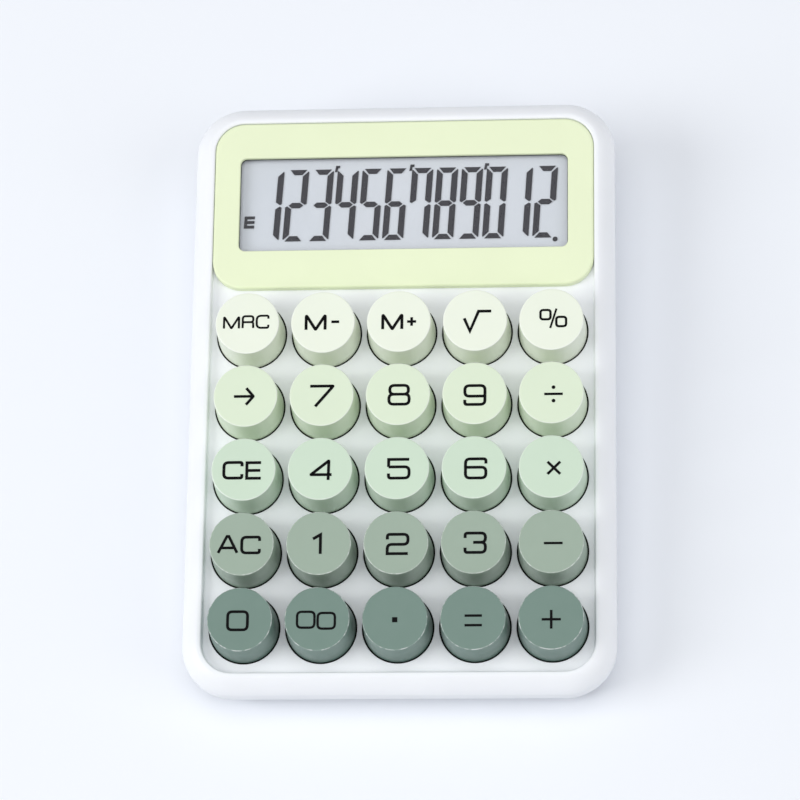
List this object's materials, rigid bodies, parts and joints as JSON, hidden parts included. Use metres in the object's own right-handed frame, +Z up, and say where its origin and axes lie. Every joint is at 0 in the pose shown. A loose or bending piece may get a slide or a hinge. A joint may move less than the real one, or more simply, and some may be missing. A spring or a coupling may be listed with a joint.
{
  "type": "desktop calculator",
  "caption": "Wedge-shaped desktop calculator with round sprung keys in five shades, a framed liquid crystal display and a sliding battery door.",
  "frame": {"origin": "on the table plane, under the middle of the case", "axes": "+X to the right, +Y from the keys towards the display, +Z up"},
  "size_m": [0.11, 0.1583, 0.032],
  "materials": {
    "case_plastic": "satin moulded, fine texture",
    "lime_plastic": "satin moulded",
    "key_cream": "satin moulded",
    "key_light_green": "satin moulded",
    "key_mint": "satin moulded",
    "key_sage": "satin moulded",
    "key_grey_green": "satin moulded, slightly worn rim",
    "window_plastic": "clear, smooth",
    "lcd_glass": "smooth, satin polariser",
    "black_print": "matte ink or film",
    "holder_plastic": "moulded",
    "ribbon_film": "smooth film",
    "silicone": "matte",
    "board_laminate": "solder mask",
    "chip_epoxy": "smooth",
    "capacitor_sleeve": "smooth",
    "screw_steel": "zinc plated",
    "foot_rubber": "matte",
    "cell_jacket": "printed jacket without lettering",
    "contact_nickel": "nickel plated",
    "red_insulation": "smooth",
    "black_insulation": "smooth"
  },
  "bodies": {
    "body": {"upper_case": "case_plastic", "lower_case": "case_plastic", "display_bezel": "lime_plastic", "display_window": "window_plastic", "window_tape": "black_print", "lcd_panel": "lcd_glass", "lcd_holder": "holder_plastic", "lcd_ribbon": "ribbon_film", "keypad_sheet": "silicone", "main_board": "board_laminate", "controller_chip": "chip_epoxy", "filter_capacitor": "capacitor_sleeve", "chip_resistors": "chip_epoxy", "board_screws": "screw_steel", "holder_screws": "screw_steel", "case_screws": "screw_steel", "foot_front_left": "foot_rubber", "foot_front_right": "foot_rubber", "foot_rear_left": "foot_rubber", "foot_rear_right": "foot_rubber", "battery": "cell_jacket", "positive_contact": "contact_nickel", "negative_contact": "contact_nickel", "positive_wire": "red_insulation", "negative_wire": "black_insulation"},
    "key_recall": {"key_recall": "key_cream"},
    "key_memory_minus": {"key_memory_minus": "key_cream"},
    "key_memory_plus": {"key_memory_plus": "key_cream"},
    "key_root": {"key_root": "key_cream"},
    "key_percent": {"key_percent": "key_cream"},
    "key_backspace": {"key_backspace": "key_light_green"},
    "key_7": {"key_7": "key_light_green"},
    "key_8": {"key_8": "key_light_green"},
    "key_9": {"key_9": "key_light_green"},
    "key_divide": {"key_divide": "key_light_green"},
    "key_clear_entry": {"key_clear_entry": "key_mint"},
    "key_4": {"key_4": "key_mint"},
    "key_5": {"key_5": "key_mint"},
    "key_6": {"key_6": "key_mint"},
    "key_multiply": {"key_multiply": "key_mint"},
    "key_all_clear": {"key_all_clear": "key_sage"},
    "key_1": {"key_1": "key_sage"},
    "key_2": {"key_2": "key_sage"},
    "key_3": {"key_3": "key_sage"},
    "key_subtract": {"key_subtract": "key_sage"},
    "key_0": {"key_0": "key_grey_green"},
    "key_00": {"key_00": "key_grey_green"},
    "key_point": {"key_point": "key_grey_green"},
    "key_equals": {"key_equals": "key_grey_green"},
    "key_add": {"key_add": "key_grey_green"},
    "battery_door": {"battery_door": "case_plastic"}
  },
  "joints": [
    {"name": "press_recall", "type": "slide", "parent": "body", "child": "key_recall", "axis": [0, 0.0698, -0.9976], "range_m": [0, 0.0022], "stiffness_N_per_m": 300, "springref_m": -0.0005, "deforming": ["keypad_sheet"]},
    {"name": "press_memory_minus", "type": "slide", "parent": "body", "child": "key_memory_minus", "axis": [0, 0.0698, -0.9976], "range_m": [0, 0.0022], "stiffness_N_per_m": 300, "springref_m": -0.0005},
    {"name": "press_memory_plus", "type": "slide", "parent": "body", "child": "key_memory_plus", "axis": [0, 0.0698, -0.9976], "range_m": [0, 0.0022], "stiffness_N_per_m": 300, "springref_m": -0.0005},
    {"name": "press_root", "type": "slide", "parent": "body", "child": "key_root", "axis": [0, 0.0698, -0.9976], "range_m": [0, 0.0022], "stiffness_N_per_m": 300, "springref_m": -0.0005},
    {"name": "press_percent", "type": "slide", "parent": "body", "child": "key_percent", "axis": [0, 0.0698, -0.9976], "range_m": [0, 0.0022], "stiffness_N_per_m": 300, "springref_m": -0.0005},
    {"name": "press_backspace", "type": "slide", "parent": "body", "child": "key_backspace", "axis": [0, 0.0698, -0.9976], "range_m": [0, 0.0022], "stiffness_N_per_m": 300, "springref_m": -0.0005},
    {"name": "press_7", "type": "slide", "parent": "body", "child": "key_7", "axis": [0, 0.0698, -0.9976], "range_m": [0, 0.0022], "stiffness_N_per_m": 300, "springref_m": -0.0005},
    {"name": "press_8", "type": "slide", "parent": "body", "child": "key_8", "axis": [0, 0.0698, -0.9976], "range_m": [0, 0.0022], "stiffness_N_per_m": 300, "springref_m": -0.0005},
    {"name": "press_9", "type": "slide", "parent": "body", "child": "key_9", "axis": [0, 0.0698, -0.9976], "range_m": [0, 0.0022], "stiffness_N_per_m": 300, "springref_m": -0.0005},
    {"name": "press_divide", "type": "slide", "parent": "body", "child": "key_divide", "axis": [0, 0.0698, -0.9976], "range_m": [0, 0.0022], "stiffness_N_per_m": 300, "springref_m": -0.0005},
    {"name": "press_clear_entry", "type": "slide", "parent": "body", "child": "key_clear_entry", "axis": [0, 0.0698, -0.9976], "range_m": [0, 0.0022], "stiffness_N_per_m": 300, "springref_m": -0.0005},
    {"name": "press_4", "type": "slide", "parent": "body", "child": "key_4", "axis": [0, 0.0698, -0.9976], "range_m": [0, 0.0022], "stiffness_N_per_m": 300, "springref_m": -0.0005},
    {"name": "press_5", "type": "slide", "parent": "body", "child": "key_5", "axis": [0, 0.0698, -0.9976], "range_m": [0, 0.0022], "stiffness_N_per_m": 300, "springref_m": -0.0005},
    {"name": "press_6", "type": "slide", "parent": "body", "child": "key_6", "axis": [0, 0.0698, -0.9976], "range_m": [0, 0.0022], "stiffness_N_per_m": 300, "springref_m": -0.0005},
    {"name": "press_multiply", "type": "slide", "parent": "body", "child": "key_multiply", "axis": [0, 0.0698, -0.9976], "range_m": [0, 0.0022], "stiffness_N_per_m": 300, "springref_m": -0.0005},
    {"name": "press_all_clear", "type": "slide", "parent": "body", "child": "key_all_clear", "axis": [0, 0.0698, -0.9976], "range_m": [0, 0.0022], "stiffness_N_per_m": 300, "springref_m": -0.0005},
    {"name": "press_1", "type": "slide", "parent": "body", "child": "key_1", "axis": [0, 0.0698, -0.9976], "range_m": [0, 0.0022], "stiffness_N_per_m": 300, "springref_m": -0.0005},
    {"name": "press_2", "type": "slide", "parent": "body", "child": "key_2", "axis": [0, 0.0698, -0.9976], "range_m": [0, 0.0022], "stiffness_N_per_m": 300, "springref_m": -0.0005},
    {"name": "press_3", "type": "slide", "parent": "body", "child": "key_3", "axis": [0, 0.0698, -0.9976], "range_m": [0, 0.0022], "stiffness_N_per_m": 300, "springref_m": -0.0005},
    {"name": "press_subtract", "type": "slide", "parent": "body", "child": "key_subtract", "axis": [0, 0.0698, -0.9976], "range_m": [0, 0.0022], "stiffness_N_per_m": 300, "springref_m": -0.0005},
    {"name": "press_0", "type": "slide", "parent": "body", "child": "key_0", "axis": [0, 0.0698, -0.9976], "range_m": [0, 0.0022], "stiffness_N_per_m": 300, "springref_m": -0.0005},
    {"name": "press_00", "type": "slide", "parent": "body", "child": "key_00", "axis": [0, 0.0698, -0.9976], "range_m": [0, 0.0022], "stiffness_N_per_m": 300, "springref_m": -0.0005},
    {"name": "press_point", "type": "slide", "parent": "body", "child": "key_point", "axis": [0, 0.0698, -0.9976], "range_m": [0, 0.0022], "stiffness_N_per_m": 300, "springref_m": -0.0005},
    {"name": "press_equals", "type": "slide", "parent": "body", "child": "key_equals", "axis": [0, 0.0698, -0.9976], "range_m": [0, 0.0022], "stiffness_N_per_m": 300, "springref_m": -0.0005},
    {"name": "press_add", "type": "slide", "parent": "body", "child": "key_add", "axis": [0, 0.0698, -0.9976], "range_m": [0, 0.0022], "stiffness_N_per_m": 300, "springref_m": -0.0005},
    {"name": "door_slide", "type": "slide", "parent": "body", "child": "battery_door", "axis": [0, 1, 0], "range_m": [0, 0.006]}
  ]
}
